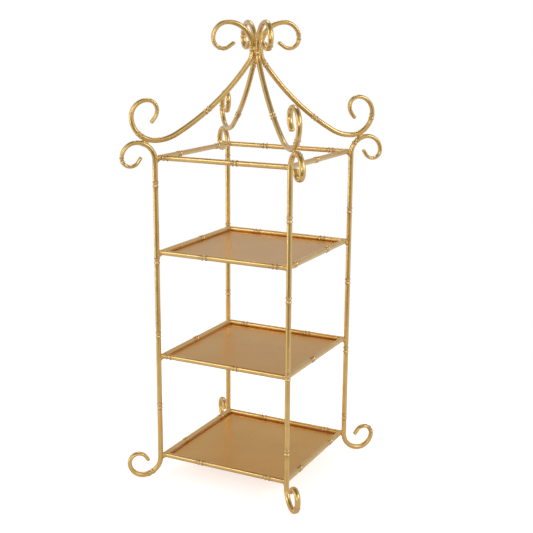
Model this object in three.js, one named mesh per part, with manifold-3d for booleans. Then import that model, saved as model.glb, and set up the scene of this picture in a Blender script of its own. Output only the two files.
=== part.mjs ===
// Three-tier pagoda cake stand, welded up from bamboo-pattern wire and sheet metal.
// Millimetres, +Z up, standing on z = 0, with its centre line on the Z axis.
//
// The wire has a pair of raised rings, like the node of a bamboo cane, at an even pitch.
// Four posts end in an outward scroll at the top and in a scroll foot below. Four square
// frames of straight rods join them. The lower three frames each carry a thin plate, and
// four roof rods swoop up from the posts to a brazed neck and curl over above it.

import * as THREE from 'three';
import { mergeVertices } from 'three/addons/utils/BufferGeometryUtils.js';
import Module from 'manifold-3d';

// ---------------------------------------------------------------- driving dimensions

const WIRE_DIAMETER = 6;
const WIRE_END_ROUND = 0.9;     // rounding of a wire's cut end
const NODE_RING_HEIGHT = 0.6;   // a bamboo node's rings stand this far above the wire
const NODE_RING_SPACING = 5;    // between the two rings of one node
const NODE_RING_FOOT = 1.4;     // run of the slope from a ring's crest down to the wire
const NODE_PITCH = 88;          // along the wire, from node to node

const FRAME_SIDE = 160;         // between the centre lines of two opposite rods
const BOTTOM_FRAME_HEIGHT = 25.5;
const TIER_PITCH = 124;         // bottom frame to middle frame, and middle to top shelf
const CROWN_SPACING = 108.5;    // top shelf frame to the crown frame
const POST_STEP = 0.6;          // from the rods' outer line to the post's centre line

const PLATE_THICKNESS = 1.2;
const PLATE_DROP = 1.8;         // from the rods' centre lines down to the plate's top
const PLATE_EDGE_GAP = 0.3;     // from the plate's edge to the rods' raised rings

const SEAT_GAP = 0.3;           // between pieces that touch
const NECK_GAP = 0.93;          // between neighbouring roof rods where they are brazed

// Bends run counter-clockwise in the upright plane of a corner's diagonal. Each is a
// radius with a sweep in degrees, and a run is a straight stretch.
const POST_TOP_SCROLL = [
  { run: 6.8 },
  { radius: 10.5, sweep: 56 },
  { radius: 9.4, sweep: 90 },
  { radius: 17.1, sweep: 90 },
  { radius: 20.3, sweep: 90 },
];
const POST_FOOT = [
  { radius: 20.5, sweep: 90 },
  { radius: 17, sweep: 90 },
  { radius: 10.5, sweep: 90 },
  { radius: 11, sweep: 57 },
  { run: 6 },
];
const APEX_SCROLL = [
  { run: 8 },
  { radius: 11.6, sweep: 36 },
  { radius: 11.4, sweep: 90 },
  { radius: 17.4, sweep: 90 },
  { radius: 28.1, sweep: 90 },
  { run: 4 },
];
const SWOOP_SHOULDER = { radius: 20, sweep: 35 };
const SWOOP_SWEEP = 24.5;       // the long shallow bend, whose radius spans what is left
const SWOOP_TAIL = { radius: 48, sweep: 30.5 };
const ROOF_SCROLL = [
  { radius: 26.2, sweep: 90 },
  { radius: 18.2, sweep: 90 },
  { radius: 10.8, sweep: 90 },
  { radius: 14.8, sweep: 38 },
  { run: 6.6 },
];
const CROWN_BEND_DROP = 3;      // the top scroll starts this far below the crown frame
const ROOF_DIP_INSET = 0.5;     // the roof rod's lowest point lies inside the post's line

// Where each wire's bamboo nodes fall. A post's and a roof rod's are measured down the
// wire from the start of its main stretch, and a frame rod's from its first corner.
const POST_NODES = { front_left: 27, front_right: 52, back_right: 68, back_left: 15 };
const ROOF_NODES = { front_left: 0, front_right: 6.5, back_right: 17, back_left: 14 };
const FRAME_NODES = {
  bottom_shelf: { front: 50, right: 38, back: 52, left: 48 },
  middle_shelf: { front: 8, right: 69, back: 24, left: 75 },
  top_shelf: { front: 57, right: 17, back: 42, left: 91 },
  crown: { front: 8, right: 70, back: 51, left: 41 },
};
const NODE_WELD_CLEARANCE = 8;  // a node lies no nearer than this to a weld

const BEAD_RADIUS = 2.8;
const BRAZE_RADIUS = 5;
const BRAZE_HEIGHT = 9;

const WIRE_SIDES = 8;
const BEAD_SIDES = 8;
const BEAD_BANDS = 6;
const BRAZE_SIDES = 16;
const CHORD_TOLERANCE = 0.25;   // a bend is faceted no further than this from its arc
const WIDEST_CHORD = THREE.MathUtils.degToRad(30);
const MERGE_TOLERANCE = 1e-3;   // vertices this close are one vertex of a solid

const GOLD = { color: 0xc9a052, roughness: 0.32, metalness: 1 };
const PLATE_GOLD = { color: 0xb08a52, roughness: 0.42, metalness: 1 };
const BRAZE_GOLD = { color: 0xb98c3e, roughness: 0.45, metalness: 1 };

// ---------------------------------------------------------------- derived places

const WIRE_RADIUS = WIRE_DIAMETER / 2;
const NODE_RADIUS = WIRE_RADIUS + NODE_RING_HEIGHT;
const NODE_HALF = NODE_RING_SPACING / 2 + NODE_RING_FOOT;
const MITRE_LENGTH = WIRE_RADIUS + SEAT_GAP + WIRE_END_ROUND;
const FRAME_HALF = FRAME_SIDE / 2;
const POST_REACH = (FRAME_HALF + WIRE_RADIUS + POST_STEP) * Math.SQRT2;
const NECK_REACH = (WIRE_DIAMETER + NECK_GAP) / Math.SQRT2;

const FRAME_HEIGHTS = {
  bottom_shelf: BOTTOM_FRAME_HEIGHT,
  middle_shelf: BOTTOM_FRAME_HEIGHT + TIER_PITCH,
  top_shelf: BOTTOM_FRAME_HEIGHT + 2 * TIER_PITCH,
  crown: BOTTOM_FRAME_HEIGHT + 2 * TIER_PITCH + CROWN_SPACING,
};
const POST_BEND_TOP = FRAME_HEIGHTS.crown - CROWN_BEND_DROP;
const POST_BEND_BOTTOM = WIRE_RADIUS + POST_FOOT[0].radius;

// Each side's and each corner's direction, in degrees about +Z.
const SIDES = { front: 0, right: 90, back: 180, left: 270 };
const CORNERS = { back_right: 45, back_left: 135, front_left: 225, front_right: 315 };
const ROD_OFF_DIAGONAL = 45;    // a corner's two rods lie this far either side of its diagonal

// ---------------------------------------------------------------- bent wire

// Lays bends and runs end to end. The wire is moved so that the joint before the step
// numbered `anchorStep` lies at (reach, height), heading straight down.
function layWire(steps, anchorStep, reach, height) {
  const turned = steps.slice(0, anchorStep).reduce((sum, step) => sum + (step.sweep ?? 0), 0);
  let heading = THREE.MathUtils.degToRad(-90 - turned);
  let start = new THREE.Vector2(0, 0);
  let along = 0;
  let anchor = { along: 0, point: start };
  const pieces = steps.map((step, index) => {
    if (index === anchorStep) {
      anchor = { along, point: start };
    }
    const piece = { ...step, start, heading, along, length: stepLength(step) };
    start = pointOnPiece(piece, piece.length);
    heading += turnOf(step);
    along += piece.length;
    return piece;
  });
  const shift = new THREE.Vector2(reach, height).sub(anchor.point);
  pieces.forEach((piece) => { piece.start = piece.start.clone().add(shift); });
  return { pieces, length: along, anchor: anchor.along };
}

function turnOf(step) {
  return THREE.MathUtils.degToRad(step.sweep ?? 0);
}

function stepLength(step) {
  return step.radius ? step.radius * turnOf(step) : step.run;
}

// The point a distance along one bend or run.
function pointOnPiece(piece, distance) {
  const { start, heading, radius } = piece;
  if (!radius) {
    return new THREE.Vector2(Math.cos(heading), Math.sin(heading)).multiplyScalar(distance).add(start);
  }
  const end = heading + distance / radius;
  return new THREE.Vector2(
    start.x + radius * (Math.sin(end) - Math.sin(heading)),
    start.y - radius * (Math.cos(end) - Math.cos(heading)),
  );
}

// The point and heading at a distance along the whole wire.
function placeOnWire(wire, along) {
  const piece = wire.pieces.findLast((candidate) => candidate.along <= along) ?? wire.pieces[0];
  const distance = along - piece.along;
  const turned = piece.radius ? distance / piece.radius : 0;
  return { point: pointOnPiece(piece, distance), heading: piece.heading + turned };
}

// Distances along the wire at which its facets change direction.
function bendStations(wire) {
  const stations = [];
  for (const piece of wire.pieces) {
    const chord = piece.radius
      ? Math.min(2 * Math.acos(1 - CHORD_TOLERANCE / piece.radius), WIDEST_CHORD)
      : Infinity;
    const count = Math.max(1, Math.ceil(turnOf(piece) / chord));
    for (let i = 0; i < count; i += 1) {
      stations.push(piece.along + (piece.length * i) / count);
    }
  }
  return stations;
}

// Node centres at an even pitch either side of `first`. One centred in an end zone was cut
// off with it, and one that would run into an end zone or the weld is moved clear of it.
function nodeCentres(first, length, endZone, weld = -length) {
  const centres = [];
  const clear = NODE_HALF + endZone;
  for (let centre = first % NODE_PITCH; centre < length - endZone; centre += NODE_PITCH) {
    const fromWeld = centre - weld;
    const side = fromWeld < 0 ? -1 : 1;
    const moved = Math.abs(fromWeld) < NODE_WELD_CLEARANCE ? weld + side * NODE_WELD_CLEARANCE : centre;
    if (centre > endZone) {
      centres.push(THREE.MathUtils.clamp(moved, clear, length - clear));
    }
  }
  return centres;
}

// A round bar along +Y with rounded-off ends, bamboo nodes and extra stations to bend at.
// `swell` makes it that much fatter all over.
function barGeometry(length, nodes, stations, swell = 0) {
  const radius = WIRE_RADIUS + swell;
  const crest = NODE_RADIUS + swell;
  const rings = [[WIRE_END_ROUND, radius], [length - WIRE_END_ROUND, radius]];
  for (const centre of nodes) {
    rings.push([centre - NODE_HALF, radius], [centre - NODE_RING_SPACING / 2, crest], [centre, radius]);
    rings.push([centre + NODE_RING_SPACING / 2, crest], [centre + NODE_HALF, radius]);
  }
  const nodeZone = NODE_HALF + WIRE_END_ROUND;
  const clearOfNodes = (place) => nodes.every((centre) => Math.abs(centre - place) > nodeZone);
  const clearOfEnds = (place) => Math.min(place, length - place) > 2 * WIRE_END_ROUND;
  for (const place of stations.filter(clearOfEnds).filter(clearOfNodes)) {
    rings.push([place, radius]);
  }
  rings.sort((a, b) => a[0] - b[0]);
  const tip = radius - WIRE_END_ROUND;
  const profile = [[0, 0], [0, tip], ...rings, [length, tip], [length, 0]];
  return new THREE.LatheGeometry(profile.map(([along, r]) => new THREE.Vector2(r, along)), WIRE_SIDES);
}

// Moves every vertex of a geometry through `move`, which changes a Vector3 in place.
function moveVertices(geometry, move) {
  const position = geometry.getAttribute('position');
  const vertex = new THREE.Vector3();
  for (let i = 0; i < position.count; i += 1) {
    vertex.fromBufferAttribute(position, i);
    move(vertex);
    position.setXYZ(i, vertex.x, vertex.y, vertex.z);
  }
  geometry.computeVertexNormals();
  return geometry;
}

// Bends a bar along a wire lying in the upright plane through +X.
function bentGeometry(wire, nodes, swell = 0) {
  return moveVertices(barGeometry(wire.length, nodes, bendStations(wire), swell), (vertex) => {
    const { point, heading } = placeOnWire(wire, Math.min(vertex.y, wire.length));
    const outward = vertex.x;
    vertex.set(
      point.x + outward * Math.sin(heading),
      -vertex.z,
      point.y - outward * Math.cos(heading),
    );
  });
}

// ---------------------------------------------------------------- posts and roof rods

function postWire() {
  const straight = { run: POST_BEND_TOP - POST_BEND_BOTTOM };
  const steps = [...POST_TOP_SCROLL, straight, ...POST_FOOT];
  return layWire(steps, POST_TOP_SCROLL.length, POST_REACH, POST_BEND_TOP);
}

// The roof rod's dip touches the top of the post's scroll: two round bends side by side.
const DIP_REACH = POST_REACH - ROOF_DIP_INSET;
const POST_SHOULDER = POST_TOP_SCROLL.at(-1).radius;
const TOUCH_SPAN = ROOF_SCROLL[0].radius + POST_SHOULDER + WIRE_DIAMETER + SEAT_GAP;
const TOUCH_RUN = POST_REACH + POST_SHOULDER - DIP_REACH;
const TOUCH_RISE = Math.sqrt(TOUCH_SPAN ** 2 - TOUCH_RUN ** 2);
const TOUCH_ANGLE = Math.asin(TOUCH_RUN / TOUCH_SPAN);  // from upright
const DIP_HEIGHT = POST_BEND_TOP + TOUCH_RISE - ROOF_SCROLL[0].radius;

// Headings of the swoop, in order: off the shoulder, into the tail, and level at the dip.
const SWOOP_START = THREE.MathUtils.degToRad(SWOOP_SHOULDER.sweep - 90);
const SWOOP_END = SWOOP_START + THREE.MathUtils.degToRad(SWOOP_SWEEP);

function roofWire() {
  const shoulderReach = SWOOP_SHOULDER.radius * (1 + Math.sin(SWOOP_START));
  const tailReach = -SWOOP_TAIL.radius * Math.sin(SWOOP_END);
  const swoopReach = DIP_REACH - NECK_REACH - shoulderReach - tailReach;
  const swoop = { radius: swoopReach / (Math.sin(SWOOP_END) - Math.sin(SWOOP_START)), sweep: SWOOP_SWEEP };
  const drop = SWOOP_SHOULDER.radius * Math.cos(SWOOP_START)
    + swoop.radius * (Math.cos(SWOOP_END) - Math.cos(SWOOP_START))
    + SWOOP_TAIL.radius * (1 - Math.cos(SWOOP_END));
  const steps = [...APEX_SCROLL, SWOOP_SHOULDER, swoop, SWOOP_TAIL, ...ROOF_SCROLL];
  return layWire(steps, APEX_SCROLL.length, NECK_REACH, DIP_HEIGHT + drop);
}

const POST = postWire();
const ROOF = roofWire();

const POST_WELD = POST.anchor - POST_SHOULDER * (Math.PI / 2 - TOUCH_ANGLE);
const ROOF_DIP = ROOF.pieces.at(-ROOF_SCROLL.length).along;
const ROOF_WELD = ROOF_DIP + ROOF_SCROLL[0].radius * TOUCH_ANGLE;

function postGeometry(corner, swell = 0) {
  const nodes = nodeCentres(POST.anchor + POST_NODES[corner], POST.length, WIRE_END_ROUND, POST_WELD);
  return bentGeometry(POST, nodes, swell);
}

function roofGeometry(corner, swell = 0) {
  const nodes = nodeCentres(ROOF.anchor + ROOF_NODES[corner], ROOF.length, WIRE_END_ROUND, ROOF_WELD);
  return bentGeometry(ROOF, nodes, swell);
}

// ---------------------------------------------------------------- frames and plates

// A straight rod along +X, centred, with its outer side towards -Y. Its ends are mitred to
// meet the next rod, and the mitre's sharp tip is cut off square to clear the post.
function frameRodGeometry(firstNode) {
  const nodes = nodeCentres(firstNode, FRAME_SIDE, MITRE_LENGTH);
  const tipSum = (POST_REACH - NODE_RADIUS - SEAT_GAP) * Math.SQRT2;
  return moveVertices(barGeometry(FRAME_SIDE, nodes, []), (vertex) => {
    const along = vertex.y - FRAME_HALF;
    const outward = vertex.x;
    const mitred = FRAME_HALF + outward - SEAT_GAP;
    const blunted = tipSum - FRAME_HALF - outward;
    const inset = FRAME_HALF - Math.abs(along);
    const end = Math.min(mitred, blunted) - inset;
    vertex.set(inset < 2 * WIRE_END_ROUND ? Math.sign(along) * end : along, -outward, vertex.z);
  });
}

function plateGeometry() {
  const side = FRAME_SIDE - 2 * (NODE_RADIUS + PLATE_EDGE_GAP);
  return new THREE.BoxGeometry(side, side, PLATE_THICKNESS);
}

// ---------------------------------------------------------------- welds and braze

const wasm = await Module();
wasm.setup();

function toSolid(geometry, matrix = new THREE.Matrix4()) {
  const bare = geometry.clone().applyMatrix4(matrix);
  bare.deleteAttribute('normal');
  bare.deleteAttribute('uv');
  const merged = mergeVertices(bare, MERGE_TOLERANCE);
  return new wasm.Manifold(new wasm.Mesh({
    numProp: 3,
    vertProperties: merged.getAttribute('position').array,
    triVerts: dropSlivers(merged.getIndex().array),
  }));
}

// Triangles that shrank to a line where a lathe profile meets its axis are left out.
function dropSlivers(indices) {
  const kept = [];
  for (let i = 0; i < indices.length; i += 3) {
    const [a, b, c] = indices.slice(i, i + 3);
    if (a !== b && b !== c && c !== a) {
      kept.push(a, b, c);
    }
  }
  return new Uint32Array(kept);
}

function toGeometry(solid) {
  const { vertProperties, triVerts } = solid.getMesh();
  const geometry = new THREE.BufferGeometry();
  geometry.setAttribute('position', new THREE.BufferAttribute(vertProperties, 3));
  geometry.setIndex(new THREE.BufferAttribute(triVerts, 1));
  geometry.computeVertexNormals();
  return geometry;
}

// A blob of filler metal with its neighbours, each grown by the seat gap, cut out of it.
function filledAround(blob, neighbours) {
  return toGeometry(neighbours.reduce((solid, neighbour) => solid.subtract(neighbour), toSolid(blob)));
}

// The bar that a frame rod is cut from, grown by the seat gap, running on past the corner.
function rodCutter(direction, height) {
  const reach = FRAME_HALF / 2;
  const bar = barGeometry(2 * reach, [], [], SEAT_GAP).translate(0, -reach, 0);
  const turn = new THREE.Matrix4().makeRotationZ(THREE.MathUtils.degToRad(direction));
  const place = new THREE.Matrix4().makeTranslation(FRAME_HALF * Math.SQRT2, 0, height);
  return toSolid(bar, place.multiply(turn));
}

// A bead under the corner of a frame, where the two rods meet the post.
function frameBeadGeometry(postSolid, height) {
  const bead = new THREE.SphereGeometry(BEAD_RADIUS, BEAD_SIDES, BEAD_BANDS);
  bead.translate(POST_REACH - NODE_RADIUS - SEAT_GAP, 0, height - WIRE_RADIUS);
  const rods = [ROD_OFF_DIAGONAL, -ROD_OFF_DIAGONAL].map((direction) => rodCutter(direction, height));
  return filledAround(bead, [postSolid, ...rods]);
}

// A bead in the groove beside the touching bends of a post and its roof rod.
function roofBeadGeometry(postSolid, roofSolid) {
  const { point } = placeOnWire(POST, POST_WELD);
  const toRoof = (WIRE_DIAMETER + SEAT_GAP) / 2;
  const bead = new THREE.SphereGeometry(BEAD_RADIUS, BEAD_SIDES, BEAD_BANDS);
  bead.translate(
    point.x - toRoof * Math.sin(TOUCH_ANGLE),
    -WIRE_RADIUS,
    point.y + toRoof * Math.cos(TOUCH_ANGLE),
  );
  return filledAround(bead, [postSolid, roofSolid]);
}

// Filler between the four roof rods at the neck, level with their straight stretch.
function brazeGeometry(roofSolids) {
  const blob = new THREE.CylinderGeometry(BRAZE_RADIUS, BRAZE_RADIUS, BRAZE_HEIGHT, BRAZE_SIDES);
  blob.rotateX(Math.PI / 2);
  blob.translate(0, 0, placeOnWire(ROOF, ROOF.anchor).point.y + APEX_SCROLL.at(-1).run / 2);
  return filledAround(blob, roofSolids);
}

// ---------------------------------------------------------------- assembly

function piece(name, geometry, finish) {
  const mesh = new THREE.Mesh(geometry, new THREE.MeshStandardMaterial(finish));
  mesh.name = name;
  return mesh;
}

// One corner: its post, its roof rod and its five welds, turned to its diagonal.
function cornerGroup(corner, azimuth) {
  const group = new THREE.Group();
  const postSolid = toSolid(postGeometry(corner, SEAT_GAP));
  const roofSolid = toSolid(roofGeometry(corner, SEAT_GAP));
  group.add(piece(`post_${corner}`, postGeometry(corner), GOLD));
  group.add(piece(`roof_rod_${corner}`, roofGeometry(corner), GOLD));
  group.add(piece(`roof_weld_${corner}`, roofBeadGeometry(postSolid, roofSolid), BRAZE_GOLD));
  for (const [frame, height] of Object.entries(FRAME_HEIGHTS)) {
    group.add(piece(`${frame}_weld_${corner}`, frameBeadGeometry(postSolid, height), BRAZE_GOLD));
  }
  group.rotation.z = THREE.MathUtils.degToRad(azimuth);
  return group;
}

// One square frame: a rod on each side, and on a shelf the plate between them.
function frameGroup(frame, height) {
  const group = new THREE.Group();
  const nodes = FRAME_NODES[frame];
  for (const [side, turn] of Object.entries(SIDES)) {
    // The back and left rods run against their turn, so their first node is counted back.
    const counted = side === 'back' || side === 'left' ? FRAME_SIDE - nodes[side] : nodes[side];
    const rod = piece(`${frame}_rod_${side}`, frameRodGeometry(counted), GOLD);
    const angle = THREE.MathUtils.degToRad(turn);
    rod.position.set(Math.sin(angle) * FRAME_HALF, -Math.cos(angle) * FRAME_HALF, 0);
    rod.rotation.z = angle;
    group.add(rod);
  }
  if (frame !== 'crown') {
    const plate = piece(`${frame}_plate`, plateGeometry(), PLATE_GOLD);
    plate.position.z = -PLATE_DROP - PLATE_THICKNESS / 2;
    group.add(plate);
  }
  group.position.z = height;
  return group;
}

function buildStand() {
  const stand = new THREE.Group();
  for (const [frame, height] of Object.entries(FRAME_HEIGHTS)) {
    stand.add(frameGroup(frame, height));
  }
  for (const [corner, azimuth] of Object.entries(CORNERS)) {
    stand.add(cornerGroup(corner, azimuth));
  }
  const roofSolids = Object.entries(CORNERS).map(([corner, azimuth]) => {
    const turn = new THREE.Matrix4().makeRotationZ(THREE.MathUtils.degToRad(azimuth));
    return toSolid(roofGeometry(corner, SEAT_GAP), turn);
  });
  stand.add(piece('apex_braze', brazeGeometry(roofSolids), BRAZE_GOLD));
  return stand;
}

export default buildStand();
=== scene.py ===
"""Looks of the tiered cake stand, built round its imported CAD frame.

Round bamboo-pattern wires, mitred frame rods, sheet shelves and weld fillets stand for the
faceted CAD nodes, in metres and in the same frame. Every piece rides on the one body, "root".
"""

import math

import bmesh
import bpy
import numpy as np
from mathutils import Matrix, Vector, noise


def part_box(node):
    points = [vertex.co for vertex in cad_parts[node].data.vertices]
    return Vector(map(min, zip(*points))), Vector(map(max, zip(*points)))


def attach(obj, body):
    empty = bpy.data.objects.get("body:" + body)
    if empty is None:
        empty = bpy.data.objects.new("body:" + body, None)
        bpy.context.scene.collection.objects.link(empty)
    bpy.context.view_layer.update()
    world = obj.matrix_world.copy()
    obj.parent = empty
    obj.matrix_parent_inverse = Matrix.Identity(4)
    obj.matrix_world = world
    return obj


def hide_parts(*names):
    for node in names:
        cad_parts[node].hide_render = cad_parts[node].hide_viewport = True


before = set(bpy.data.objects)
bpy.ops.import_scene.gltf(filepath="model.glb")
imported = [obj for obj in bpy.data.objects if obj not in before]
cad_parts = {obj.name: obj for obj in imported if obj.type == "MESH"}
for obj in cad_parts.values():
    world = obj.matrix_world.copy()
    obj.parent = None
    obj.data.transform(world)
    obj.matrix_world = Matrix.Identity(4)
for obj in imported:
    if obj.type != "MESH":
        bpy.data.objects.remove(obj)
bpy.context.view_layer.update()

CORNERS = {"back_right": 45, "back_left": 135, "front_left": 225, "front_right": 315}
SIDES = {"front": 0, "right": 90, "back": 180, "left": 270}
SHELVES = ("bottom_shelf", "middle_shelf", "top_shelf")
FRAMES = (*SHELVES, "crown")

# ---------------------------------------------------------------- sizes, in metres

WIRE_RADIUS = 0.003
WIRE_END_ROUND = 0.0016
NODE_RING_HEIGHT = 0.0006
NODE_RING_SPACING = 0.005
NODE_RING_FOOT = 0.0014
NODE_PITCH = 0.088
NODE_WELD_CLEARANCE = 0.008
GROOVE_DEPTH = 0.0002
GROOVE_WIDTH = 0.0007
SEAT_GAP = 0.0003
POST_STEP = 0.0006
NECK_GAP = 0.00093
CROWN_BEND_DROP = 0.003
ROOF_DIP_INSET = 0.0005
BENT_END_ZONE = 1.5 * WIRE_END_ROUND  # no ring of a bent wire lies nearer its tip than this
MITRE_LENGTH = 0.0042
MITRE_SEAM = 0.00005

SHEET_EDGE_ROUND = 0.00025
SHEET_WAVE = 0.06
SHEET_WAVE_HEIGHT = 0.00005
SHEET_WAVE_SEED = 100

# A fillet reaches this far from its centre and is rounded off by its softness. It is shaped
# round this much of each wire that it joins.
FRAME_FILLET = {"reach": 0.008, "softness": 0.0065}
FRAME_FILLET_POST = 0.02
FRAME_FILLET_RODS = 0.03
ROOF_FILLET = {"reach": 0.0065, "softness": 0.0035}
ROOF_FILLET_WIRES = 0.015
NECK_FILLET = {"reach": 0.011, "softness": 0.005}
NECK_FILLET_WIRES = 0.02
WELD_SINK = 0.00006
WELD_LUMP = 0.0005
WELD_LUMP_SIZE = 0.0022
WELD_LUMP_SEED = 1000
WELD_SMOOTHING = 0.5

# A bend is (radius, sweep in degrees) and a run is (length,), as in the part's source.
POST_TOP_SCROLL = [(0.0068,), (0.0105, 56), (0.0094, 90), (0.0171, 90), (0.0203, 90)]
POST_FOOT = [(0.0205, 90), (0.017, 90), (0.0105, 90), (0.011, 57), (0.006,)]
APEX_SCROLL = [(0.008,), (0.0116, 36), (0.0114, 90), (0.0174, 90), (0.0281, 90), (0.004,)]
SWOOP_SHOULDER = (0.020, 35)
SWOOP_SWEEP = 24.5
SWOOP_TAIL = (0.048, 30.5)
ROOF_SCROLL = [(0.0262, 90), (0.0182, 90), (0.0108, 90), (0.0148, 38), (0.0066,)]

# A wire's ends are flattened in the plane of their curl. Each is (share of the wire's thickness
# at the tip, length of that taper, share of the wire's width at the tip), for the wire's upper
# end and then its lower one. A foot thins only short of where it stands on the floor.
POST_TIPS = ((0.66, 0.085, 1.20), (0.72, 0.055, 1.15))
ROOF_TIPS = ((0.71, 0.085, 1.13), (0.72, 0.085, 1.12))
WIDTH_TAPER = 0.085
TAPER_EASE = 1.5

POST_NODES = {"front_left": 0.027, "front_right": 0.052, "back_right": 0.068, "back_left": 0.015}
ROOF_NODES = {"front_left": -0.0035, "front_right": 0.001, "back_right": 0.014, "back_left": 0.016}
FRAME_NODES = {
    "bottom_shelf": {"front": 0.050, "right": 0.038, "back": 0.052, "left": 0.048},
    "middle_shelf": {"front": 0.008, "right": 0.069, "back": 0.024, "left": 0.075},
    "top_shelf": {"front": 0.057, "right": 0.017, "back": 0.042, "left": 0.091},
    "crown": {"front": 0.008, "right": 0.070, "back": 0.051, "left": 0.041},
}

# How finely the meshes are divided.
WIRE_SIDES = 24
BEND_STEP = math.radians(3)
STRAIGHT_STEP = 0.006
NODE_STEP = 0.0003
END_STEPS = 5
SHEET_STEP = 0.004
PAST_SHEET = 1.0
MIDDLE_LINE_STEP = 0.001
WELD_DIVISIONS = 4
WELD_MARCH = 60

# These keep a division from meeting zero.
NO_SPAN = 1e-12
NO_SOFTNESS = 1e-9

# ---------------------------------------------------------------- places, from the frame


def middle(node):
    """Centre of a CAD node's box."""
    low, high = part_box(node)
    return (low + high) / 2


FRAME_HEIGHT = {name: middle(f"{name}_rod_front").z for name in FRAMES}
FRAME_HALF = -middle("crown_rod_front").y
FRAME_SIDE = 2 * FRAME_HALF
NODE_HALF = NODE_RING_SPACING / 2 + NODE_RING_FOOT
NODE_RADIUS = WIRE_RADIUS + NODE_RING_HEIGHT
POST_REACH = (FRAME_HALF + WIRE_RADIUS + POST_STEP) * math.sqrt(2)
NECK_REACH = (2 * WIRE_RADIUS + NECK_GAP) / math.sqrt(2)
POST_BEND_TOP = FRAME_HEIGHT["crown"] - CROWN_BEND_DROP
POST_BEND_BOTTOM = WIRE_RADIUS + POST_FOOT[0][0]

# ---------------------------------------------------------------- bent wire


class Wire:
    """Bends and runs end to end in the upright plane of a corner's diagonal: x is the reach
    from the stand's centre line and y the height. The joint before step `anchor_step` lies
    at (reach, height), heading straight down. Bends run counter-clockwise."""

    def __init__(self, steps, anchor_step, reach, height):
        turned = sum(step[1] for step in steps[:anchor_step] if len(step) == 2)
        heading = math.radians(-90 - turned)
        point, along = np.zeros(2), 0.0
        self.pieces = []
        for index, step in enumerate(steps):
            if index == anchor_step:
                self.anchor, shift = along, np.array((reach, height)) - point
            radius = step[0] if len(step) == 2 else None
            turn = math.radians(step[1]) if radius else 0.0
            length = radius * turn if radius else step[0]
            self.pieces.append([along, length, radius, heading, point])
            point = self.point_on(self.pieces[-1], length)
            heading += turn
            along += length
        self.length = along
        for piece in self.pieces:
            piece[4] = piece[4] + shift

    @staticmethod
    def point_on(piece, distance):
        _, _, radius, heading, start = piece
        if not radius:
            return start + distance * np.array((math.cos(heading), math.sin(heading)))
        end = heading + distance / radius
        step = (math.sin(end) - math.sin(heading), math.cos(heading) - math.cos(end))
        return start + radius * np.array(step)

    def place(self, along):
        """Point and heading at a distance along the wire."""
        piece = next((p for p in reversed(self.pieces) if p[0] <= along), self.pieces[0])
        turned = (along - piece[0]) / piece[2] if piece[2] else 0.0
        return self.point_on(piece, along - piece[0]), piece[3] + turned

    def stations(self):
        """Distances along the wire at which its mesh has a ring."""
        found = []
        for along, length, radius, _, _ in self.pieces:
            step = radius * BEND_STEP if radius else STRAIGHT_STEP
            count = max(1, math.ceil(length / step))
            found += [along + length * i / count for i in range(count)]
        return found

    def middle_line(self, centre, reach):
        """Points of the wire's middle line, in the diagonal plane, either side of `centre`."""
        count = 2 * math.ceil(reach / MIDDLE_LINE_STEP) + 1
        marks = np.clip(np.linspace(centre - reach, centre + reach, count), 0, self.length)
        points = [self.place(mark)[0] for mark in marks]
        return np.array([(x, 0.0, z) for x, z in points])


def post_wire():
    straight = (POST_BEND_TOP - POST_BEND_BOTTOM,)
    steps = [*POST_TOP_SCROLL, straight, *POST_FOOT]
    return Wire(steps, len(POST_TOP_SCROLL), POST_REACH, POST_BEND_TOP)


# The roof rod's dip touches the top of the post's scroll: two round bends side by side.
DIP_REACH = POST_REACH - ROOF_DIP_INSET
POST_SHOULDER = POST_TOP_SCROLL[-1][0]
TOUCH_SPAN = ROOF_SCROLL[0][0] + POST_SHOULDER + 2 * WIRE_RADIUS + SEAT_GAP
TOUCH_RUN = POST_REACH + POST_SHOULDER - DIP_REACH
TOUCH_RISE = math.sqrt(TOUCH_SPAN**2 - TOUCH_RUN**2)
TOUCH_ANGLE = math.asin(TOUCH_RUN / TOUCH_SPAN)
DIP_HEIGHT = POST_BEND_TOP + TOUCH_RISE - ROOF_SCROLL[0][0]


def roof_wire():
    """The swoop's long shallow bend takes the radius that spans what the others leave."""
    start = math.radians(SWOOP_SHOULDER[1] - 90)
    end = start + math.radians(SWOOP_SWEEP)
    shoulder_reach = SWOOP_SHOULDER[0] * (1 + math.sin(start))
    tail_reach = -SWOOP_TAIL[0] * math.sin(end)
    swoop_reach = DIP_REACH - NECK_REACH - shoulder_reach - tail_reach
    swoop = (swoop_reach / (math.sin(end) - math.sin(start)), SWOOP_SWEEP)
    drop = SWOOP_SHOULDER[0] * math.cos(start)
    drop += swoop[0] * (math.cos(end) - math.cos(start))
    drop += SWOOP_TAIL[0] * (1 - math.cos(end))
    steps = [*APEX_SCROLL, SWOOP_SHOULDER, swoop, SWOOP_TAIL, *ROOF_SCROLL]
    return Wire(steps, len(APEX_SCROLL), NECK_REACH, DIP_HEIGHT + drop)


POST = post_wire()
ROOF = roof_wire()
POST_WELD = POST.anchor - POST_SHOULDER * (math.pi / 2 - TOUCH_ANGLE)
ROOF_WELD = ROOF.pieces[-len(ROOF_SCROLL)][0] + ROOF_SCROLL[0][0] * TOUCH_ANGLE


def node_centres(first, length, end_zone, weld=None):
    """Bamboo nodes at an even pitch, moved clear of the wire's end zones and of its weld."""
    centres, clear = [], NODE_HALF + end_zone
    centre = first % NODE_PITCH
    while centre < length - end_zone:
        moved = centre
        if weld is not None and abs(centre - weld) < NODE_WELD_CLEARANCE:
            moved = weld + math.copysign(NODE_WELD_CLEARANCE, centre - weld)
        if centre > end_zone:
            centres.append(min(max(moved, clear), length - clear))
        centre += NODE_PITCH
    return centres


# ---------------------------------------------------------------- wire meshes


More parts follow.
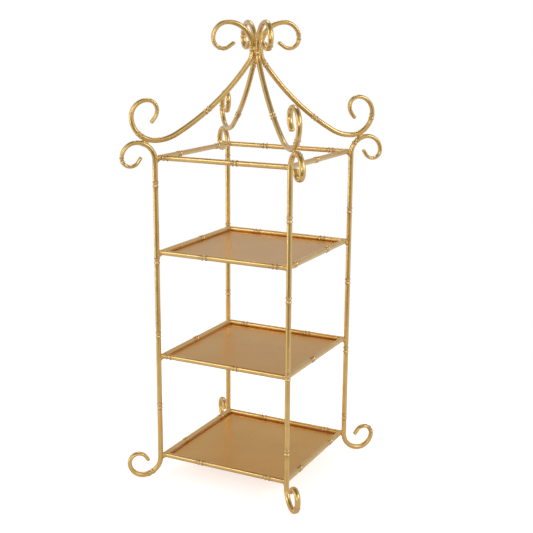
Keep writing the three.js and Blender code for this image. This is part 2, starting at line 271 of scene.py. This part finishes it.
def ring_rise(off_node):
    """How far the wire stands proud at a distance from a node: 1 on a ring's crest."""
    off = np.abs(np.abs(off_node) - NODE_RING_SPACING / 2) / NODE_RING_FOOT
    return np.where(off < 1, 0.5 + 0.5 * np.cos(math.pi * np.minimum(off, 1)), 0.0)


def groove_depth(off_node):
    """The rolled groove beside each ring and between the two: 1 at its deepest."""
    foot = NODE_HALF - GROOVE_WIDTH / 2
    off = np.minimum(np.abs(off_node), np.abs(np.abs(off_node) - foot)) / GROOVE_WIDTH
    return np.exp(-(off**2))


def bar_profile(marks, nodes):
    """Radius, ring rise and groove of a bar at each mark along it."""
    marks = np.asarray(marks)
    rise, deep = np.zeros(len(marks)), np.zeros(len(marks))
    for node in nodes:
        rise = np.maximum(rise, ring_rise(marks - node))
        deep = np.maximum(deep, groove_depth(marks - node))
    radius = WIRE_RADIUS + NODE_RING_HEIGHT * rise - GROOVE_DEPTH * deep * (1 - rise)
    return radius, rise, deep


def bar_rings(length, nodes, stations, end_zone):
    """The rings of a straight bar's mesh from end to end: (distance along, radius, ring
    rise, groove). Its cut ends have rounded rims."""
    marks = set(stations)
    for node in nodes:
        count = math.ceil(NODE_HALF / NODE_STEP)
        marks.update(node + NODE_HALF * i / count for i in range(-count, count + 1))
    marks = sorted(mark for mark in marks if end_zone < mark < length - end_zone)
    rim = []
    for i in range(END_STEPS + 1):
        angle = math.pi / 2 * i / END_STEPS
        inset = WIRE_END_ROUND * (1 - math.cos(angle))
        rim.append((inset, WIRE_RADIUS - WIRE_END_ROUND * (1 - math.sin(angle)), 0.0, 0.0))
    body = [tuple(map(float, row)) for row in zip(marks, *bar_profile(marks, nodes))]
    return rim + body + [(length - inset, *rest) for inset, *rest in reversed(rim)]


def add_attribute(mesh, name, kind, values):
    """A number or a vector for each point of a mesh."""
    attribute = mesh.attributes.new(name, kind, "POINT")
    field = "vector" if kind == "FLOAT_VECTOR" else "value"
    attribute.data.foreach_set(field, np.array(values, np.float32).ravel())


def bar_piece(name, rings, place):
    """A closed round bar whose point at (distance along, outward, sideways) is `place` of it.
    Its attributes keep where each point was on the straight bar, its ring and its groove."""
    turns = [2 * math.pi * i / WIRE_SIDES for i in range(WIRE_SIDES)]
    points, straight, rises, grooves = [], [], [], []
    for along, radius, rise, deep in rings:
        for turn in turns:
            outward, sideways = radius * math.cos(turn), radius * math.sin(turn)
            points.append(place(along, outward, sideways))
            straight.append((along, outward, sideways))
            rises.append(rise)
            grooves.append(deep)
    for along in (rings[0][0], rings[-1][0]):
        points.append(place(along, 0.0, 0.0))
        straight.append((along, 0.0, 0.0))
        rises.append(0.0)
        grooves.append(0.0)
    first_cap, last_cap = len(points) - 2, len(points) - 1
    last = (len(rings) - 1) * WIRE_SIDES
    faces = []
    for i in range(WIRE_SIDES):
        j = (i + 1) % WIRE_SIDES
        for row in range(0, last, WIRE_SIDES):
            after = row + WIRE_SIDES
            faces.append((row + i, after + i, after + j, row + j))
        faces += [(first_cap, i, j), (last_cap, last + j, last + i)]
    mesh = bpy.data.meshes.new(name)
    mesh.from_pydata(points, [], faces)
    add_attribute(mesh, "straight", "FLOAT_VECTOR", straight)
    add_attribute(mesh, "rise", "FLOAT", rises)
    add_attribute(mesh, "groove", "FLOAT", grooves)
    return finished(name, mesh)


def finished(name, mesh):
    """A smooth-shaded object with its faces turned outwards."""
    shape = bmesh.new()
    shape.from_mesh(mesh)
    bmesh.ops.recalc_face_normals(shape, faces=shape.faces)
    shape.to_mesh(mesh)
    shape.free()
    mesh.shade_smooth()
    piece = bpy.data.objects.new(name, mesh)
    bpy.context.scene.collection.objects.link(piece)
    return piece


def eased(tip_share, from_tip, taper):
    """A share that goes from its value at a wire's tip to 1 at the taper's end."""
    risen = min(max(from_tip, 0) / taper, 1)
    return tip_share + (1 - tip_share) * risen ** TAPER_EASE


def flattened(along, length, tips):
    """The shares of the wire's thickness in the plane of its curls, and of its width."""
    upper, lower = tips
    thin, taper, wide = upper if along < length / 2 else lower
    from_tip = min(along, length - along)
    return eased(thin, from_tip, taper), eased(wide, from_tip, WIDTH_TAPER)


def bent_bar(name, wire, nodes, azimuth, tips):
    """A bar bent along a wire, in the upright plane through a corner."""
    turn = math.radians(azimuth)
    across = Vector((-math.sin(turn), math.cos(turn), 0))
    out = Vector((math.cos(turn), math.sin(turn), 0))

    def place(along, outward, sideways):
        (reach, height), heading = wire.place(along)
        thickness, width = flattened(along, wire.length, tips)
        outward *= thickness
        sideways *= width
        reach += outward * math.sin(heading)
        height -= outward * math.cos(heading)
        return out * reach + across * sideways + Vector((0, 0, height))

    return bar_piece(name, bar_rings(wire.length, nodes, wire.stations(), BENT_END_ZONE), place)


def frame_rod(name, nodes, height, azimuth):
    """A straight rod of a square frame. Its ends are mitred, with the sharp tip cut off."""
    turn = math.radians(azimuth)
    ahead = Vector((math.cos(turn), math.sin(turn), 0))
    out = Vector((math.sin(turn), -math.cos(turn), 0))
    tip_sum = (POST_REACH - NODE_RADIUS - SEAT_GAP) * math.sqrt(2)

    def place(along, outward, sideways):
        inset = min(along, FRAME_SIDE - along)
        mitred = FRAME_HALF + outward - MITRE_SEAM
        blunted = tip_sum - FRAME_HALF - outward
        off = along - FRAME_HALF
        if inset < MITRE_LENGTH / 2:
            off = math.copysign(min(mitred, blunted) - inset, off)
        return ahead * off + out * (FRAME_HALF + outward) + Vector((0, 0, height + sideways))

    count = math.ceil(FRAME_SIDE / STRAIGHT_STEP)
    stations = [FRAME_SIDE * i / count for i in range(count + 1)]
    return bar_piece(name, bar_rings(FRAME_SIDE, nodes, stations, MITRE_LENGTH), place)


def rod_nodes(frame_name, side):
    """A frame rod's nodes, counted along its own direction."""
    first = FRAME_NODES[frame_name][side]
    if side in ("back", "left"):
        first = FRAME_SIDE - first
    return node_centres(first, FRAME_SIDE, MITRE_LENGTH)


# ---------------------------------------------------------------- sheet shelves


def sheet_marks(nodes):
    """Where a sheet is divided along one side: evenly, and finely beside the nodes. The first
    and last mark lie past the sheet, to be clipped to its edges."""
    half = FRAME_HALF - WIRE_RADIUS
    count = math.ceil(2 * half / SHEET_STEP)
    marks = {-half + 2 * half * i / count for i in range(1, count)}
    fine = math.ceil(NODE_HALF / (2 * NODE_STEP))
    for node in nodes:
        marks.update(node - FRAME_HALF + NODE_HALF * i / fine for i in range(-fine, fine + 1))
    marks = sorted(mark for mark in marks if abs(mark) < half)
    kept = [mark for mark, after in zip(marks, marks[1:] + [PAST_SHEET]) if after - mark > NODE_STEP / 2]
    return np.array([-PAST_SHEET, *kept, PAST_SHEET])


def sheet_grid(frame_name, drop):
    """A sheet's grid points, whose outer ones follow the rods and their rings, and half the
    sheet's side between plain rods. It lies `drop` under the rods' middle lines."""
    nodes = {side: np.array(rod_nodes(frame_name, side)) for side in SIDES}
    across = {
        "front": nodes["front"],
        "back": FRAME_SIDE - nodes["back"],
        "right": nodes["right"],
        "left": FRAME_SIDE - nodes["left"],
    }

    def edge(side, marks):
        radius, _, _ = bar_profile(marks + FRAME_HALF, across[side])
        return FRAME_HALF - np.sqrt(radius**2 - drop**2)

    xs = sheet_marks([*across["front"], *across["back"]])
    ys = sheet_marks([*across["left"], *across["right"]])
    inside = FRAME_HALF - math.sqrt(WIRE_RADIUS**2 - drop**2)
    flat_x, flat_y = np.clip(xs, -inside, inside), np.clip(ys, -inside, inside)
    grid_x, grid_y = np.meshgrid(flat_x, flat_y, indexing="ij")
    grid_y[:, 0], grid_y[:, -1] = -edge("front", flat_x), edge("back", flat_x)
    grid_x[0, :], grid_x[-1, :] = -edge("left", flat_y), edge("right", flat_y)
    return grid_x, grid_y, inside


def grid_border(rows, columns):
    """The places round a grid's edge, in order."""
    border = [(i, 0) for i in range(rows - 1)]
    border += [(rows - 1, j) for j in range(columns - 1)]
    border += [(i, columns - 1) for i in range(rows - 1, 0, -1)]
    border += [(0, j) for j in range(columns - 1, 0, -1)]
    return border


def sheet_shelf(name, frame_name, low, high):
    """A sheet inside a frame, with softened edges and a hair's breadth of unevenness."""
    grid_x, grid_y, inside = sheet_grid(frame_name, FRAME_HEIGHT[frame_name] - high)
    rows, columns = grid_x.shape
    border = grid_border(rows, columns)
    rim_pull = 1 - SHEET_EDGE_ROUND / inside
    points, faces = [], []

    def grid_layer(height, flip):
        start = len(points)
        for i in range(rows):
            for j in range(columns):
                x, y = grid_x[i, j], grid_y[i, j]
                on_rim = i in (0, rows - 1) or j in (0, columns - 1)
                pull = rim_pull if on_rim else 1
                points.append((x * pull, y * pull, height + unevenness(x, y, high)))
        for i in range(rows - 1):
            for j in range(columns - 1):
                a, b = start + i * columns + j, start + (i + 1) * columns + j
                faces.append((a, b, b + 1, a + 1) if flip else (a, a + 1, b + 1, b))
        return [start + i * columns + j for i, j in border]

    def border_layer(height):
        start = len(points)
        for i, j in border:
            x, y = grid_x[i, j], grid_y[i, j]
            points.append((x, y, height + unevenness(x, y, high)))
        return list(range(start, len(points)))

    loops = [
        grid_layer(high, True),
        border_layer(high - SHEET_EDGE_ROUND),
        border_layer(low + SHEET_EDGE_ROUND),
        grid_layer(low, False),
    ]
    for upper, lower in zip(loops, loops[1:]):
        for k in range(len(border)):
            after = (k + 1) % len(border)
            faces.append((upper[k], lower[k], lower[after], upper[after]))
    mesh = bpy.data.meshes.new(name)
    mesh.from_pydata(points, [], faces)
    return finished(name, mesh)


def unevenness(x, y, seed):
    """How far a sheet's surface is off its plane, with another pattern for each seed."""
    place = Vector((x / SHEET_WAVE, y / SHEET_WAVE, SHEET_WAVE_SEED * seed))
    return SHEET_WAVE_HEIGHT * noise.noise(place)


# ---------------------------------------------------------------- welds


def distance_to_line(points, line):
    """Distance from each point to a line of straight stretches."""
    start, end = line[:-1], line[1:]
    span = end - start
    offset = points[:, None, :] - start[None]
    share = np.clip((offset * span).sum(2) / np.maximum((span * span).sum(1), NO_SPAN), 0, 1)
    return np.linalg.norm(offset - share[..., None] * span, axis=2).min(1)


def soft_least(first, second, softness):
    """The lesser of two distances, rounded off where they are alike."""
    blend = np.maximum(softness - np.abs(first - second), 0) / np.maximum(softness, NO_SOFTNESS)
    return np.minimum(first, second) - blend**2 * softness / 4


def weld_fillet(name, centre, groups, reach, softness, turn, top=None):
    """Filler metal round `centre`: a ball pushed out to the soft union of the wires about it.
    It sinks just under their surface away from the joint, and it stops at `top` if given."""
    ball = bmesh.new()
    bmesh.ops.create_icosphere(ball, subdivisions=WELD_DIVISIONS, radius=1)
    rays = np.array([v.co[:] for v in ball.verts])
    rays /= np.linalg.norm(rays, axis=1)[:, None]
    found = np.full(len(rays), reach)
    open_rays = np.ones(len(rays), bool)
    seed = Vector(centre) * WELD_LUMP_SEED
    for step in range(1, WELD_MARCH + 1):
        out = reach * step / WELD_MARCH
        points = centre + rays * out
        share = np.clip(1 - out / reach, 0, 1)
        soft = np.full(len(points), softness * share)
        if top is not None:
            soft *= np.clip((top - points[:, 2]) / WIRE_RADIUS, 0, 1)
        solid = None
        for lines in groups:
            middles = [distance_to_line(points, line) for line in lines]
            nearest = np.min(middles, axis=0) - WIRE_RADIUS
            solid = nearest if solid is None else soft_least(solid, nearest, soft)
        lumps = np.array([noise.noise(Vector(p) / WELD_LUMP_SIZE + seed) for p in points])
        solid = solid + WELD_SINK - WELD_LUMP * lumps * np.minimum(soft / softness, 1)
        hit = open_rays & (solid > 0)
        found[hit] = out
        open_rays &= ~hit
        if not open_rays.any():
            break
    for vertex, ray, length in zip(ball.verts, rays, found):
        vertex.co = Vector(centre + ray * length)
    every_way = {"use_axis_x": True, "use_axis_y": True, "use_axis_z": True}
    bmesh.ops.smooth_vert(ball, verts=ball.verts, factor=WELD_SMOOTHING, **every_way)
    bmesh.ops.rotate(ball, verts=ball.verts, cent=(0, 0, 0), matrix=Matrix.Rotation(turn, 3, "Z"))
    mesh = bpy.data.meshes.new(name)
    ball.to_mesh(mesh)
    ball.free()
    return finished(name, mesh)


def frame_weld(name, height, azimuth):
    """The fillet under a frame's corner, where its two rods meet the post."""
    corner = np.array((FRAME_HALF * math.sqrt(2), 0.0, height))
    rods = []
    for side in (-1, 1):
        inward = np.array((-math.sqrt(0.5), side * math.sqrt(0.5), 0.0))
        rods.append(np.array([corner, corner + inward * FRAME_FILLET_RODS]))
    post = [POST.middle_line(POST.anchor + POST_BEND_TOP - height, FRAME_FILLET_POST)]
    centre = np.array((POST_REACH - NODE_RADIUS - SEAT_GAP, 0.0, height - WIRE_RADIUS))
    turn = math.radians(azimuth)
    return weld_fillet(name, centre, [post, rods], turn=turn, top=height, **FRAME_FILLET)


def roof_weld(name, azimuth):
    """Filler both sides of where a roof rod's dip lies on its post's top scroll."""
    on_post, _ = POST.place(POST_WELD)
    on_roof, _ = ROOF.place(ROOF_WELD)
    centre = np.array(((on_post[0] + on_roof[0]) / 2, 0.0, (on_post[1] + on_roof[1]) / 2))
    post = [POST.middle_line(POST_WELD, ROOF_FILLET_WIRES)]
    roof = [ROOF.middle_line(ROOF_WELD, ROOF_FILLET_WIRES)]
    return weld_fillet(name, centre, [post, roof], turn=math.radians(azimuth), **ROOF_FILLET)


def neck_braze(name):
    """Filler that gathers the four roof rods at the neck."""
    along = ROOF.anchor - APEX_SCROLL[-1][0] / 2
    line = ROOF.middle_line(along, NECK_FILLET_WIRES)
    groups = []
    for azimuth in CORNERS.values():
        turn = math.radians(azimuth)
        reach, height = line[:, 0], line[:, 2]
        groups.append([np.stack([reach * math.cos(turn), reach * math.sin(turn), height], 1)])
    centre = np.array((0.0, 0.0, ROOF.place(along)[0][1]))
    return weld_fillet(name, centre, groups, turn=0.0, **NECK_FILLET)


# ---------------------------------------------------------------- materials


class Finish:
    """A material with one Principled shader, and short calls that add its nodes."""

    def __init__(self, name, **sockets):
        self.material = bpy.data.materials.new(name)
        self.material.use_nodes = True
        self.tree = self.material.node_tree
        self.shader = self.tree.nodes["Principled BSDF"]
        for socket, value in sockets.items():
            self.shader.inputs[socket.replace("_", " ")].default_value = value

    def add(self, kind, links=None, values=None, **settings):
        node = self.tree.nodes.new(kind)
        for key, value in settings.items():
            setattr(node, key, value)
        for key, value in (values or {}).items():
            node.inputs[key].default_value = value
        for key, output in (links or {}).items():
            self.tree.links.new(output, node.inputs[key])
        return node

    def attribute(self, name):
        return self.add("ShaderNodeAttribute", attribute_name=name)

    def scaled(self, vector, scale):
        node = self.add("ShaderNodeVectorMath", {0: vector}, {1: scale}, operation="MULTIPLY")
        return node.outputs["Vector"]

    def grain(self, vector, scale, detail=2.0, roughness=0.5):
        values = {"Scale": scale, "Detail": detail, "Roughness": roughness}
        return self.add("ShaderNodeTexNoise", {"Vector": vector}, values).outputs["Fac"]

    def between(self, factor, low, high, from_low=0.0, from_high=1.0):
        """A number that goes from low to high as factor does between its two limits."""
        values = {"From Min": from_low, "From Max": from_high, "To Min": low, "To Max": high}
        return self.add("ShaderNodeMapRange", {"Value": factor}, values).outputs["Result"]

    def total(self, first, second, operation="ADD"):
        return self.add("ShaderNodeMath", {0: first, 1: second}, operation=operation).outputs[0]

    def ramp(self, factor, stops):
        node = self.add("ShaderNodeValToRGB", {"Fac": factor})
        node.color_ramp.elements[0].position = stops[0][0]
        node.color_ramp.elements[0].color = (*stops[0][1], 1)
        node.color_ramp.elements[1].position = stops[-1][0]
        node.color_ramp.elements[1].color = (*stops[-1][1], 1)
        for place, colour in stops[1:-1]:
            node.color_ramp.elements.new(place).color = (*colour, 1)
        return node.outputs["Color"]

    def mix(self, factor, first, second):
        """Colours first and second, each an output or a tuple, mixed by an output."""
        node = self.add("ShaderNodeMix", {"Factor": factor}, data_type="RGBA")
        for socket, colour in (("A", first), ("B", second)):
            target = next(s for s in node.inputs if s.name == socket and s.type == "RGBA")
            if isinstance(colour, tuple):
                target.default_value = (*colour, 1)
            else:
                self.tree.links.new(colour, target)
        return next(s for s in node.outputs if s.type == "RGBA")

    def bump(self, height, distance, normal=None):
        links = {"Height": height}
        if normal:
            links["Normal"] = normal
        return self.add("ShaderNodeBump", links, {"Strength": 1.0, "Distance": distance}).outputs["Normal"]

    def finish(self, colour, roughness, normal):
        for socket, output in (("Base Color", colour), ("Roughness", roughness), ("Normal", normal)):
            self.tree.links.new(output, self.shader.inputs[socket])
        return self.material


GOLD_DEEP = (0.735, 0.445, 0.095)
GOLD = (0.78, 0.488, 0.112)
GOLD_PALE = (0.82, 0.527, 0.135)
# Dark brown mixed into the wires' grooves and the welds' hollows: painted shade.
HOLLOW_SHADE = (0.33, 0.13, 0.02)
SHEET_DEEP = (0.765, 0.400, 0.075)
SHEET_GOLD = (0.79, 0.422, 0.085)
SHEET_PALE = (0.81, 0.440, 0.095)

# Depth of the finest relief, in metres, and how a grain is stretched into lines.
WIRE_BUMP = 0.000002
SHEET_GRAIN_BUMP = 0.0000015
SHEET_RUB_BUMP = 0.000001
WELD_BUMP = 0.00006
DRAWN_ALONG = (0.02, 1, 1)
RUBBED_ALONG = (1.0, 0.06, 1.0)


def wire_gold():
    """Gold lacquer over drawn wire: cloudy tone, faint drawing lines, painted shade in the
    grooves beside the rings, and polished on their crests."""
    finish = Finish("gold_wire", Metallic=1.0, Coat_Weight=1.0, Coat_Roughness=0.16, Coat_IOR=1.9)
    straight = finish.attribute("straight").outputs["Vector"]
    groove = finish.attribute("groove").outputs["Fac"]
    rise = finish.attribute("rise").outputs["Fac"]
    place = finish.add("ShaderNodeTexCoord").outputs["Object"]
    cloud = finish.grain(place, scale=55, detail=4, roughness=0.6)
    lines = finish.grain(finish.scaled(straight, DRAWN_ALONG), scale=2600, detail=2)
    speck = finish.grain(place, scale=2200, detail=3, roughness=0.65)
    tone = finish.ramp(cloud, [(0.32, GOLD_DEEP), (0.5, GOLD), (0.68, GOLD_PALE)])
    # Painted shade: the grooves beside the rings are mixed towards dark brown, in patches.
    groove_shade = finish.between(groove, low=0.0, high=0.7)
    patchy = finish.between(speck, low=0.35, high=1.0, from_low=0.35, from_high=0.65)
    colour = finish.mix(finish.total(groove_shade, patchy, "MULTIPLY"), tone, HOLLOW_SHADE)
    drawn = finish.between(lines, low=0.31, high=0.37, from_low=0.3, from_high=0.7)
    cloudy = finish.between(cloud, low=-0.03, high=0.05, from_low=0.35, from_high=0.65)
    roughness = finish.total(drawn, cloudy)
    roughness = finish.total(roughness, finish.between(groove, low=0.0, high=0.16))
    roughness = finish.total(roughness, finish.between(rise, low=0.0, high=0.07), "SUBTRACT")
    normal = finish.bump(lines, WIRE_BUMP)
    normal = finish.bump(speck, WIRE_BUMP, normal)
    return finish.finish(colour, roughness, normal)


def sheet_gold():
    """Satin gold sheet: fine grain, a faint cloudiness and a few soft rubbed marks."""
    finish = Finish("gold_sheet", Metallic=1.0, Coat_Weight=0.4, Coat_Roughness=0.3)
    place = finish.add("ShaderNodeTexCoord").outputs["Object"]
    cloud = finish.grain(place, scale=28, detail=4, roughness=0.55)
    fine = finish.grain(place, scale=1500, detail=3, roughness=0.7)
    rubs = finish.grain(finish.scaled(place, RUBBED_ALONG), scale=420, detail=3, roughness=0.6)
    tone = finish.ramp(cloud, [(0.3, SHEET_DEEP), (0.5, SHEET_GOLD), (0.7, SHEET_PALE)])
    grained = finish.between(fine, low=0.28, high=0.33, from_low=0.3, from_high=0.7)
    rubbed = finish.between(rubs, low=-0.02, high=0.03, from_low=0.35, from_high=0.65)
    roughness = finish.total(grained, rubbed)
    normal = finish.bump(fine, SHEET_GRAIN_BUMP)
    normal = finish.bump(rubs, SHEET_RUB_BUMP, normal)
    return finish.finish(tone, roughness, normal)


def weld_gold():
    """The same lacquer over lumpy filler metal, with painted shade in its hollows."""
    finish = Finish("gold_weld", Metallic=1.0, Coat_Weight=1.0, Coat_Roughness=0.22, Coat_IOR=1.75)
    place = finish.add("ShaderNodeTexCoord").outputs["Object"]
    cloud = finish.grain(place, scale=160, detail=3, roughness=0.6)
    lump = finish.grain(place, scale=700, detail=3, roughness=0.55)
    tone = finish.ramp(cloud, [(0.3, GOLD_DEEP), (0.55, GOLD), (0.75, GOLD_PALE)])
    # Painted shade: the low parts of the lumps are mixed towards dark brown.
    lump_shade = finish.between(lump, low=0.45, high=0.0, from_low=0.3, from_high=0.5)
    colour = finish.mix(lump_shade, tone, HOLLOW_SHADE)
    lumpy = finish.between(lump, low=0.42, high=0.28, from_low=0.3, from_high=0.7)
    cloudy = finish.between(cloud, low=-0.03, high=0.05, from_low=0.35, from_high=0.65)
    return finish.finish(colour, finish.total(lumpy, cloudy), finish.bump(lump, WELD_BUMP))


# ---------------------------------------------------------------- assembly


def settle(piece, node, material):
    """Puts a piece on the stand in place of its CAD node."""
    piece.data.materials.append(material)
    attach(piece, "root")
    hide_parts(node)


def build_corner(corner, azimuth, wire, weld):
    """A post, the roof rod that lies on it and the weld between them."""
    first = POST.anchor + POST_NODES[corner]
    nodes = node_centres(first, POST.length, WIRE_END_ROUND, POST_WELD)
    post = bent_bar(f"post_{corner}_wire", POST, nodes, azimuth, POST_TIPS)
    settle(post, f"post_{corner}", wire)
    first = ROOF.anchor + ROOF_NODES[corner]
    nodes = node_centres(first, ROOF.length, WIRE_END_ROUND, ROOF_WELD)
    rod = bent_bar(f"roof_rod_{corner}_wire", ROOF, nodes, azimuth, ROOF_TIPS)
    settle(rod, f"roof_rod_{corner}", wire)
    fillet = roof_weld(f"roof_weld_{corner}_fillet", azimuth)
    settle(fillet, f"roof_weld_{corner}", weld)


def build_frame(name, height, wire, weld):
    """A square frame's four rods and its welds to the posts."""
    for side, azimuth in SIDES.items():
        rod = frame_rod(f"{name}_rod_{side}_wire", rod_nodes(name, side), height, azimuth)
        settle(rod, f"{name}_rod_{side}", wire)
    for corner, azimuth in CORNERS.items():
        fillet = frame_weld(f"{name}_weld_{corner}_fillet", height, azimuth)
        settle(fillet, f"{name}_weld_{corner}", weld)


def build_stand():
    wire, sheet, weld = wire_gold(), sheet_gold(), weld_gold()
    for corner, azimuth in CORNERS.items():
        build_corner(corner, azimuth, wire, weld)
    for name, height in FRAME_HEIGHT.items():
        build_frame(name, height, wire, weld)
    for name in SHELVES:
        low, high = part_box(f"{name}_plate")
        shelf = sheet_shelf(f"{name}_sheet", name, low.z, high.z)
        settle(shelf, f"{name}_plate", sheet)
    settle(neck_braze("apex_braze_fillet"), "apex_braze", weld)


# ---------------------------------------------------------------- studio

CAMERA_PLACE = Vector((0.5330, -1.0271, 0.5254))
CAMERA_YAW = 26.790
CAMERA_PITCH = 13.418
CAMERA_ROLL = 0.388
CAMERA_LENS = 68.0
CAMERA_SENSOR = 36.0


def add_camera():
    data = bpy.data.cameras.new("camera")
    data.lens, data.sensor_width = CAMERA_LENS, CAMERA_SENSOR
    camera = bpy.data.objects.new("camera", data)
    bpy.context.scene.collection.objects.link(camera)
    turn = Matrix.Rotation(math.radians(CAMERA_YAW), 4, "Z")
    tilt = Matrix.Rotation(math.radians(90 - CAMERA_PITCH), 4, "X")
    roll = Matrix.Rotation(math.radians(CAMERA_ROLL), 4, "Z")
    camera.matrix_world = Matrix.Translation(CAMERA_PLACE) @ turn @ tilt @ roll
    bpy.context.scene.camera = camera


WHITE = (1, 1, 1, 1)
TABLE_RADIUS = 0.6
TABLE_SIDES = 128
TABLE_COLOUR = (0.8, 0.8, 0.8, 1)
TABLE_ROUGHNESS = 0.9
TABLE_SPECULAR = 0.1
TABLE_GLOW = 0.15
TABLE_WHITENING = 0.5


def add_table():
    """A round white table, which ends not far in front, so that the wires mirror the dark of
    the room past its edge. To the eye it is as white as the wall behind it."""
    shape = bmesh.new()
    bmesh.ops.create_circle(shape, cap_ends=True, segments=TABLE_SIDES, radius=TABLE_RADIUS)
    mesh = bpy.data.meshes.new("table")
    shape.to_mesh(mesh)
    shape.free()
    table = bpy.data.objects.new("table", mesh)
    bpy.context.scene.collection.objects.link(table)
    paint = bpy.data.materials.new("table_paint")
    paint.use_nodes = True
    tree = paint.node_tree
    shader = tree.nodes["Principled BSDF"]
    shader.inputs["Base Color"].default_value = TABLE_COLOUR
    shader.inputs["Roughness"].default_value = TABLE_ROUGHNESS
    shader.inputs["Specular IOR Level"].default_value = TABLE_SPECULAR
    shader.inputs["Emission Color"].default_value = WHITE
    seen = tree.nodes.new("ShaderNodeLightPath").outputs["Is Camera Ray"]
    glow = tree.nodes.new("ShaderNodeMapRange")
    glow.inputs["To Min"].default_value = TABLE_GLOW
    glow.inputs["To Max"].default_value = TABLE_GLOW + TABLE_WHITENING
    tree.links.new(seen, glow.inputs["Value"])
    tree.links.new(glow.outputs[0], shader.inputs["Emission Strength"])
    mesh.materials.append(paint)


# Brightness of the room as the stand mirrors it, by direction from the stand.
ROOM = {
    "backdrop": 0.55,
    "side_walls": 0.68,
    "camera_wall": 0.60,
    "ceiling": 0.20,
    "low_sides": 0.71,
    "low_camera": 0.12,
}

# Where one part of the room fades into the next: degrees round from the camera's side, and
# degrees up.
CAMERA_WALL_FADE = (30, 60)
BACKDROP_FADE = (105, 150)
LOW_CAMERA_FADE = (15, 60)
FLOOR_FADE = (-6, 4)
CEILING_FADE = (40, 60)

# Soft boxes: degrees right of the camera, degrees up, distance, width, height, brightness.
SOFT_BOXES = {
    "right_box": (62, 29, 2.0, 0.55, 0.85, 4.6),
    "left_box": (-60, 30, 2.0, 0.5, 0.7, 3.4),
    "camera_box": (0, 14, 2.2, 0.8, 0.35, 5.0),
    "left_strip": (-80, -2, 2.0, 0.3, 0.9, 4.6),
    "back_box": (180, 62, 2.0, 0.8, 0.5, 3.4),
}
STAND_MIDDLE = Vector((0, 0, 0.27))


def add_soft_box(name, azimuth, elevation, distance, width, height, brightness):
    turn, rise = math.radians(azimuth + CAMERA_YAW), math.radians(elevation)
    level = math.cos(rise)
    away = Vector((math.sin(turn) * level, -math.cos(turn) * level, math.sin(rise)))
    data = bpy.data.lights.new(name, "AREA")
    data.shape, data.size, data.size_y = "RECTANGLE", width, height
    data.energy = brightness * math.pi * width * height
    box = bpy.data.objects.new(name, data)
    bpy.context.scene.collection.objects.link(box)
    box.location = STAND_MIDDLE + away * distance
    box.rotation_euler = (-away).to_track_quat("-Z", "Y").to_euler()
    box.visible_camera = False


def add_room(room):
    """White to the eye. What lights the stand is the room: its brightness changes smoothly
    from the backdrop to the walls beside and behind the camera, and to the dark below."""
    world = bpy.data.worlds.new("room")
    bpy.context.scene.world = world
    world.use_nodes = True
    tree = world.node_tree
    tree.nodes.clear()

    def add(kind, links, **settings):
        node = tree.nodes.new(kind)
        for key, value in settings.items():
            setattr(node, key, value)
        for key, value in links.items():
            if isinstance(value, bpy.types.NodeSocket):
                tree.links.new(value, node.inputs[key])
            else:
                node.inputs[key].default_value = value
        return node

    def maths(operation, first, second=0.0):
        return add("ShaderNodeMath", {0: first, 1: second}, operation=operation).outputs[0]

    def rises(angle, fade):
        start, end = map(math.radians, fade)
        limits = {"Value": angle, "From Min": start, "From Max": end}
        return add("ShaderNodeMapRange", limits, interpolation_type="SMOOTHSTEP").outputs[0]

    def blend(factor, first, second):
        return add("ShaderNodeMix", {"Factor": factor, "A": first, "B": second}).outputs[0]

    direction = add("ShaderNodeTexCoord", {}).outputs["Generated"]
    turn = {"Vector": direction, "Angle": -math.radians(CAMERA_YAW)}
    parts = add("ShaderNodeVectorRotate", turn, rotation_type="Z_AXIS").outputs[0]
    parts = add("ShaderNodeSeparateXYZ", {0: parts}).outputs
    beside, ahead = maths("ABSOLUTE", parts["X"]), maths("MULTIPLY", parts["Y"], -1.0)
    from_camera = maths("ARCTAN2", beside, ahead)
    elevation = maths("ARCSINE", parts["Z"])
    wall = blend(rises(from_camera, CAMERA_WALL_FADE), room["camera_wall"], room["side_walls"])
    wall = blend(rises(from_camera, BACKDROP_FADE), wall, room["backdrop"])
    low = blend(rises(from_camera, LOW_CAMERA_FADE), room["low_camera"], room["low_sides"])
    light = blend(rises(elevation, FLOOR_FADE), low, wall)
    light = blend(rises(elevation, CEILING_FADE), light, room["ceiling"])
    lit = add("ShaderNodeBackground", {"Color": WHITE, "Strength": light}).outputs[0]
    seen = add("ShaderNodeBackground", {"Color": WHITE, "Strength": 1.0}).outputs[0]
    eye = add("ShaderNodeLightPath", {}).outputs["Is Camera Ray"]
    both = add("ShaderNodeMixShader", {"Fac": eye, 1: lit, 2: seen}).outputs[0]
    add("ShaderNodeOutputWorld", {"Surface": both})


add_camera()
build_stand()
add_table()
add_room(ROOM)
for box, setting in SOFT_BOXES.items():
    add_soft_box(box, *setting)
bpy.context.scene.view_settings.view_transform = "Standard"
